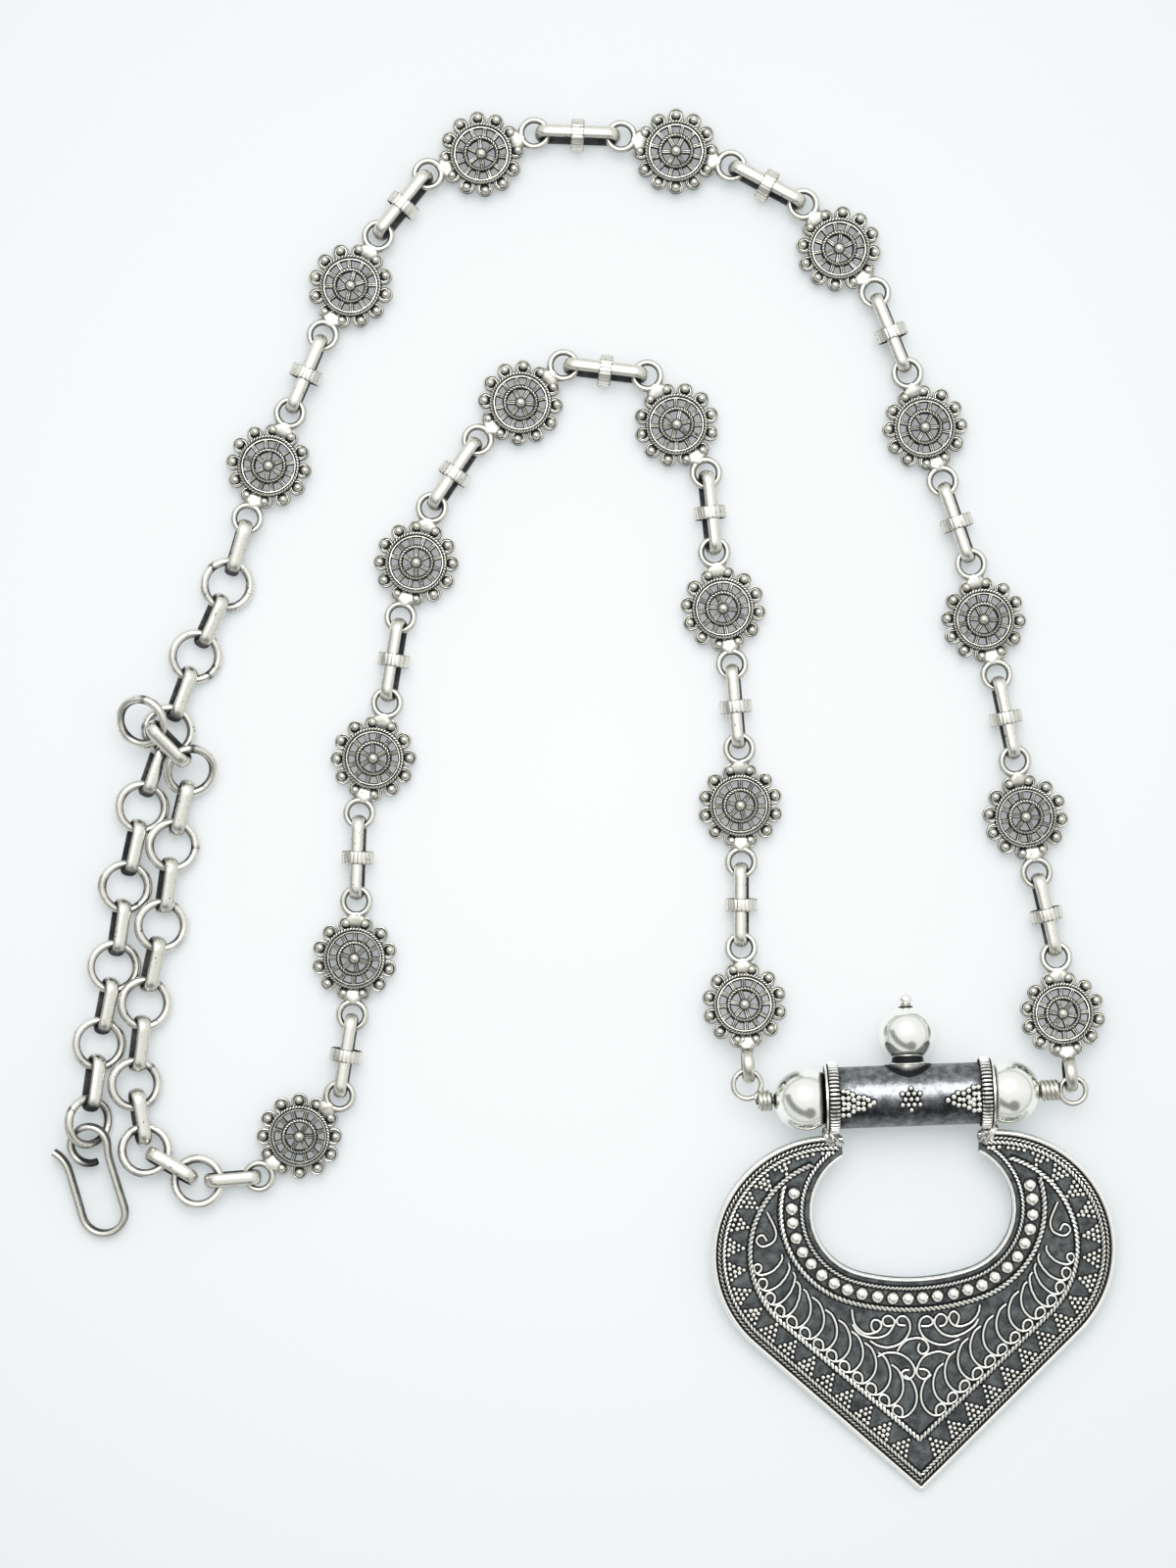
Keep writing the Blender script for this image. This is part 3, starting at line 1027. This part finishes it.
def bedUnderBalls(centres, r):  # flat disc under each ball, wider by the bed
    bed.balls(lift(centres, -0.02), r + crescent["bed"], 8, 3, 1.0, squash=(1, 1, 0.12))


def ropeShape():
    # plain rims and twisted wires that follow the outlines of the plate, the opening, the arc and the vee
    s, c = Shape(), crescent
    w, h = c["rimWidth"] / 2, c["rimHigh"]
    dome = np.array([(-w, -0.6), (-w, h * 0.55), (-w * 0.55, h * 0.9), (0, h), (w * 0.55, h * 0.9),
                     (w, h * 0.55), (w, -0.6)])
    for half, slim in ((rimHalf(c["rimIn"]), 1.0), (openingHalf(c["openingRimIn"]), c["openingSlim"])):
        path = lift(resample(bothHalves(clipHorn(half)), c["rimStep"]))
        s.sweep(path, dome * np.array([slim, 1.0]), tarnish=[0.7, 0.15, 0.0, 0.0, 0.0, 0.15, 0.7])

    def twisted(path, width, pitch, hand, z, worn=0.0):  # a rope with its bed
        s.rope(lift(path, z), width, pitch, hand, tarnish=(worn, 1.0))
        bedUnder(path, width)

    for inset, hand, width, worn in ((c["outerRope"], 1, c["outerRopeW"], 0.3),
                                     (c["innerRope"], -1, c["edgeRopeW"], 0.0)):
        twisted(bothHalves(clipHorn(rimHalf(inset), c["hornRope"])), width, c["edgePitch"], hand,
                c["edgeZ"], worn)
    fine = clipHorn(openingHalf(c["fineAt"]), c["hornFine"])
    fine = whileKept(fine, fromCircle(fine, c["rimSide"], c["rimR"]) > c["fineStop"])
    twisted(bothHalves(fine), c["fineW"], c["finePitch"], 1, c["fineZ"])
    arc = openingHalf(c["arcAt"])
    arc = whileKept(arc, fromCircle(arc, c["veeSide"], c["veeR"]) > c["arcStop"])
    twisted(bothHalves(arc), c["ropeW"], c["ropePitch"], -1, c["ropeZ"])
    vee = veeHalf()
    vee = whileKept(vee, fromCircle(vee, c["corner"], c["cornerR"]) < c["veeStop"])
    for side in (1, -1):
        twisted(onSides(vee, side), c["ropeW"], c["ropePitch"], side, c["ropeZ"])
    return s


def outlineFrames(half, at):
    # points and inward directions at distances along a half outline from its lower end
    run = arcLength(half)
    p, t = readAt(half, run, at), unit(readAt(unit(np.gradient(half, axis=0)), run, at))
    return p, np.stack([-t[:, 1], t[:, 0]], -1), run[-1]


def grainShape():
    # large grains at even steps along the arc, and triangles of granules in rows of one fewer along the rim
    s, c = Shape(), crescent
    rng = np.random.default_rng(9)

    def mirrored(p, spread):  # both sides, each spot a little off its place
        both = np.vstack([p, onSides(p, -1)])
        return both + rng.normal(0, spread, both.shape)

    at = (np.arange(c["grainCount"] // 2) + 0.5) * c["grainPitch"]
    both = mirrored(outlineFrames(openingHalf(c["grainAt"]), at)[0], c["grainLoose"])
    size = c["grainR"] + rng.normal(0, c["sizeLoose"], len(both))
    s.balls(lift(both, c["grainZ"]), size, 20, 9, 0.0, 1.0, (1, 1, c["grainFlat"]))
    bedUnderBalls(both, c["grainR"])
    base = rimHalf(c["innerRope"] + c["edgeRopeW"] / 2 + c["clusterIn"])
    small = []
    for k in range(c["clusterCount"]):
        middle = (k + c["clusterStart"]) * c["clusterPitch"]
        left = max(0, k - c["fullClusters"] + 1)  # the last clusters, near the horn, are cut short
        rows = ((4, 3, 2, 1), (4, 2, 1), (4,))[min(left, 2)]
        for row, count in enumerate(rows):
            spots = middle + (np.arange(count) - (count - 1) / 2) * c["granulePitch"]
            p, inward, total = outlineFrames(base, spots)
            p = p + inward * row * c["granulePitch"] * c["rowPitch"]
            small.append(p[spots < total - c["clusterEnd"]])
    both = mirrored(np.vstack(small), c["granuleLoose"])
    bedUnderBalls(both, c["granuleR"])
    size = c["granuleR"] + rng.normal(0, c["sizeLoose"], len(both))
    s.balls(lift(both, c["granuleZ"]), size, 8, 4, 0.0, 1.0, edge=0.45)
    return s


# one leaf of wire beside the vee, from its free tip to its curl: (towards the point, away from the vee)
leafPoints = [(-3.15, 5.95), (-1.85, 6.0), (-0.7, 5.55), (0.3, 4.85), (1.1, 3.85), (1.5, 2.75), (1.5, 1.55),
              (1.1, 0.6), (0.25, 0.1), (-0.7, 0.15), (-1.1, 0.8), (-0.8, 1.45), (-0.05, 1.55), (0.6, 1.1),
              (0.9, 0.45)]
leafRow = {"first": 5.6, "pitch": 2.85, "count": 13, "lastSize": 0.78, "off": 0.35, "sizeLoose": 0.02,
           "placeLoose": 0.06}
scrolls = {  # wires under the arc, across and up from the tube's middle
    "outerLeft": [(-10.4, -34.8), (-10.3, -36.1), (-10.0, -37.3), (-9.2, -38.3), (-8.3, -38.9),
                  (-7.2, -38.9), (-6.2, -38.5), (-5.7, -37.7), (-6.0, -36.9), (-6.8, -36.7),
                  (-7.3, -37.3), (-7.2, -38.2), (-6.7, -38.7)],
    "innerLeft": [(-10.4, -37.3), (-9.7, -38.4), (-8.7, -39.2), (-7.3, -39.6), (-5.9, -39.6), (-4.7, -39.1),
                  (-3.9, -38.1), (-3.5, -37.1), (-4.0, -36.3), (-4.7, -36.1), (-5.4, -36.6),
                  (-5.3, -37.4), (-4.7, -37.8), (-3.9, -37.7)],
    "lowLeft": [(-7.6, -40.1), (-6.6, -40.8), (-5.6, -41.2), (-4.5, -41.3), (-3.2, -41.0), (-2.1, -40.3),
                (-1.3, -39.2), (-1.0, -38.1), (-1.2, -37.0), (-1.8, -36.3), (-2.6, -36.3), (-3.1, -36.8),
                (-2.9, -37.6), (-1.8, -37.8)],
    "topCentre": [(-3.2, -42.0), (-2.6, -41.1), (-1.7, -40.3), (-0.6, -40.0), (0.6, -40.0), (1.5, -40.6),
                  (1.9, -41.5), (1.6, -42.3), (0.9, -42.6), (0.3, -42.2), (0.2, -41.5), (0.5, -40.8)],
    "faceLeft": [(-6.4, -42.8), (-5.4, -42.3), (-4.2, -42.2), (-3.0, -42.4), (-1.9, -43.0), (-1.0, -43.9),
                 (-0.5, -45.1), (-0.7, -46.1), (-1.5, -46.7), (-2.3, -46.3), (-2.6, -45.7), (-2.1, -45.2),
                 (-1.4, -45.2)],
    "faceRight": [(5.6, -42.9), (4.6, -42.6), (3.6, -42.3), (2.4, -42.5), (1.2, -43.0), (0.4, -43.9),
                  (-0.1, -45.1), (-0.1, -45.9), (0.5, -46.6), (1.3, -46.7), (1.9, -46.0), (1.6, -45.4),
                  (0.9, -45.1), (0.3, -45.1)],
    "outerRight": [(10.5, -34.8), (10.3, -35.8), (9.8, -36.8), (8.9, -37.7), (7.7, -38.2), (6.6, -38.2),
                   (5.8, -37.7), (5.4, -36.8), (5.7, -36.0), (6.4, -35.8), (7.0, -36.5), (6.9, -37.3),
                   (6.6, -38.0)],
    "innerRight": [(10.2, -37.1), (9.6, -38.1), (8.5, -39.0), (7.3, -39.6), (5.9, -39.9), (4.5, -39.5),
                   (3.6, -38.7), (3.0, -37.7), (3.2, -36.7), (4.0, -36.1), (4.8, -36.5), (5.0, -37.3),
                   (4.5, -38.0), (3.8, -38.1)],
    "lowRight": [(7.0, -40.4), (5.9, -40.8), (4.7, -41.2), (3.4, -41.1), (2.2, -40.6), (1.2, -39.8),
                 (0.6, -38.7), (0.5, -37.7), (0.9, -36.8), (1.8, -36.4), (2.5, -36.8), (2.7, -37.5),
                 (2.1, -38.0), (0.8, -38.0)],
    "horn": [(-23.7, -18.3), (-22.4, -21.3), (-22.6, -22.9), (-23.6, -23.7), (-24.8, -23.9), (-25.6, -23.1),
             (-25.3, -22.3), (-24.5, -22.1), (-23.9, -23.0)],
}


def scrollShape():  # round wire along a leaf repeated up both sides of the vee, and along the scrolls
    s, c, f = Shape(), crescent, leafRow
    wire = circle(c["scrollWire"], 8)
    half = veeHalf()
    leaf = smoothPath(leafPoints, 5)
    rng = np.random.default_rng(11)
    paths = []
    for k in range(f["count"]):
        for side in (1, -1):
            size = (f["lastSize"] if k == f["count"] - 1 else 1.0) + rng.normal(0, f["sizeLoose"])
            middle = f["first"] + k * f["pitch"] + rng.normal(0, f["placeLoose"])
            p, inward, _ = outlineFrames(half, middle - leaf[:, 0] * size)
            paths.append(onSides(p + inward * (leaf[:, 1:] * size + f["off"]), side))
    for name, points in scrolls.items():
        for side in ((1, -1) if name == "horn" else (1,)):
            paths.append(smoothPath(onSides(np.array(points), side), 6))
    for path in paths:
        s.sweep(lift(path, c["scrollZ"]), wire, tarnish=np.clip(-wire[:, 1] / c["scrollWire"], 0, 1) * 0.8)
        bedUnder(path, 2 * c["scrollWire"])
    return s


solderForm = {"half": (2.0, 1.35, 1.25), "at": (12.7, -6.6), "turn": 50, "rows": 14, "around": 22,
              "steepest": 1.45, "waves": 0.1, "rough": 0.08, "tarnish": 0.5, "patches": 0.3,
              "topWear": 0.25}


def solderShape():
    # rough lump that joins each horn to its collar: a ball whose radius varies with two waves and noise
    s, f = Shape(), solderForm
    rng = np.random.default_rng(21)
    lat, lon = np.meshgrid(np.linspace(-f["steepest"], f["steepest"], f["rows"]), roundAngles(f["around"]),
                           indexing="ij")
    a, b, c = f["half"]
    for way in (-1, 1):
        swell = 1 + f["waves"] * np.sin(3 * lon + 2 * lat + way) + f["rough"] * rng.normal(size=lat.shape)
        ball = np.stack([a * np.cos(lat) * np.cos(lon), b * np.cos(lat) * np.sin(lon), c * np.sin(lat)], -1)
        place = np.array([way * f["at"][0], f["at"][1], 0.0])
        grid = (ball * swell[..., None]) @ turn("z", way * f["turn"]).T + place
        dark = f["tarnish"] + f["patches"] * rng.normal(size=lat.shape) - f["topWear"] * np.sin(lat)
        s.surface(grid, False, np.clip(dark, 0, 1))
    return s


def onPlate(shape):  # a shape drawn on the flat plate, sloped with it
    return onPendant(shape.placed(turn("x", plateTilt), (0, 0, 0)))


for name, make in (("Ropes", ropeShape), ("Grains", grainShape), ("Scrolls", scrollShape),
                   ("Solder", solderShape)):
    onPlate(make()).build("crescent" + name, finishes["raised"], "pendant_silver", 50)
plate = plateShape()
plate.join(bed)
onPlate(plate).build("crescentPlate", finishes["plate"], "pendant_silver", 40)
print("crescent built")

# Table, light and camera

table = {"half": 2.0, "middle": (0.002, 0.004), "reach": 0.26, "glow": 0.42, "rough": 0.7, "specular": 0.1,
         "fade": [(0.0, (0.44, 0.465, 0.467)), (0.45, (0.53, 0.552, 0.557)), (1.0, (0.63, 0.644, 0.655))]}


def tableTop():
    # one square; its colour fades with the distance from the middle, and its own glow softens the shadows
    mesh = bpy.data.meshes.new("table")
    half, reach = table["half"], table["reach"]
    mesh.from_pydata([(-half, -half, 0), (half, -half, 0), (half, half, 0), (-half, half, 0)], [],
                     [(0, 1, 2, 3)])
    material = bpy.data.materials.new("paleTable")
    material.use_nodes = True
    w = Wiring(material)
    spot = w.node("Mapping", {"Vector": w.node("TexCoord").outputs["Object"], "Scale": (1 / reach,) * 3,
                              "Location": tuple(-c / reach for c in table["middle"]) + (0,)}).outputs[0]
    fade = w.ramp(w.node("TexGradient", {"Vector": spot}, gradient_type="SPHERICAL").outputs["Fac"],
                  table["fade"])
    w.feed(w.nodes["Principled BSDF"].inputs, {
        "Base Color": fade, "Emission Color": fade, "Emission Strength": table["glow"],
        "Roughness": table["rough"], "Specular IOR Level": table["specular"]})
    mesh.materials.append(material)
    top = newObject("table", mesh)


# the sky as a polished ball shows it from above: (x, y) on the ball's disc of radius 1
tent = {
    "rise": [(0.0, 0.55), (0.05, 0.6), (0.14, 0.98), (0.6, 1.04), (1.0, 1.08)],  # height, level
    "brightest": 1.1, "tint": (0.985, 0.995, 1.0), "strength": 0.76, "lowSide": 0.86, "lowFade": (-0.3, 0.7),
    "arcMiddle": (0.2, 0.35), "arcR": 0.8, "arcHalf": 0.05,  # dark strip
    "arcHeading": 228.0, "arcSpread": 36.0, "arcFade": (0.03, 0.01),
    "endAt": (0.15, -0.41), "endR": 0.13, "soft": 0.08, "shade": 0.4,  # dark spot, soft edge of both
}


def sky():
    # bright tent: its level follows height, less on the viewer's side, with one dark curved strip and spot
    world = bpy.data.worlds.new("tent")
    world.use_nodes = True
    w, f = Wiring(world), tent
    maths = w.maths

    def vector(kind, output, *values):  # outcome of one vector operation
        return w.node("VectorMath", dict(enumerate(values)), operation=kind).outputs[output]

    x, y, z = w.node("SeparateXYZ", {0: w.node("TexCoord").outputs["Generated"]}).outputs
    shrink = maths("SQRT", maths("MAXIMUM", maths("ADD", maths("MULTIPLY", z, 2.0), 2.0), 0.02))
    disc = w.node("CombineXYZ", {0: maths("DIVIDE", x, shrink), 1: maths("DIVIDE", y, shrink)}).outputs[0]
    middle = (*f["arcMiddle"], 0.0)
    off = maths("ABSOLUTE", maths("SUBTRACT", vector("DISTANCE", "Value", disc, middle), f["arcR"]))
    onArc = w.smooth(off, f["arcHalf"], f["arcHalf"] + f["soft"], 1.0, 0.0)
    out = vector("NORMALIZE", 0, vector("SUBTRACT", 0, disc, middle))
    facing = vector("DOT_PRODUCT", "Value", out, (*heading(f["arcHeading"]), 0.0))
    near = float(np.cos(np.radians(f["arcSpread"])))
    outside, inside = f["arcFade"]
    within = w.smooth(maths("MULTIPLY", facing, -1.0), -near - outside, -near + inside, 1.0, 0.0)
    spot = vector("DISTANCE", "Value", disc, (*f["endAt"], 0.0))
    end = w.smooth(spot, f["endR"], f["endR"] + f["soft"], 1.0, 0.0)
    dark = maths("MAXIMUM", maths("MULTIPLY", onArc, within), end)
    colour = w.ramp(z, [(at, level / f["brightest"] * np.array(f["tint"])) for at, level in f["rise"]])
    lowSide = w.smooth(maths("MULTIPLY", y, -1.0), *f["lowFade"], 1.0, 0.0)
    level = maths("ADD", maths("MULTIPLY", lowSide, 1 - f["lowSide"]), f["lowSide"])
    level = maths("MULTIPLY", level, maths("SUBTRACT", 1.0, maths("MULTIPLY", dark, 1 - f["shade"])))
    w.feed(w.nodes["Background"].inputs, {
        "Color": colour, "Strength": maths("MULTIPLY", level, f["brightest"] * f["strength"])})
    bpy.context.scene.world = world


key = {"at": (0.0, 0.33, 0.73), "size": 0.66, "power": 2.6}


def softKey():  # round lamp turned to the origin
    lamp = bpy.data.lights.new("softKey", "AREA")
    lamp.shape, lamp.size, lamp.energy = "DISK", key["size"], key["power"]
    holder = newObject("softKey", lamp)
    holder.location = key["at"]
    away = np.array(key["at"]) / np.linalg.norm(key["at"])
    holder.rotation_euler = (np.arccos(away[2]), 0, np.arctan2(away[1], away[0]) + np.pi / 2)


def cameraAbove():  # focal length from the width seen at the height of the necklace's middle
    data = bpy.data.cameras.new("above")
    data.sensor_fit = "HORIZONTAL"
    data.sensor_width = view["sensor"]
    data.lens = view["sensor"] * (view["height"] - view["focusZ"]) / view["widthSeen"]
    data.clip_end = view["farthest"]
    camera = newObject("above", data)
    camera.location = (view["over"][0] * mm, view["over"][1] * mm, view["height"] * mm)
    bpy.context.scene.camera = camera


# light in, light shown
tone = [(0.0, 0.0), (0.06, 0.05), (0.22, 0.2), (0.45, 0.5), (0.62, 0.75), (0.78, 0.92), (0.9, 0.985),
        (1.0, 1.0)]


def softTone():  # a picture's tone: bright parts run together gently, as in the photograph
    look = bpy.context.scene.view_settings
    look.view_transform = "Standard"
    look.use_curve_mapping = True
    points = look.curve_mapping.curves[3].points
    for k, (x, y) in enumerate(tone):
        point = points[0] if k == 0 else (points[-1] if k == len(tone) - 1 else points.new(x, y))
        point.location = (x, y)
    look.curve_mapping.update()


tableTop()
sky()
softKey()
cameraAbove()
softTone()
bpy.context.view_layer.update()
print("scene ready")
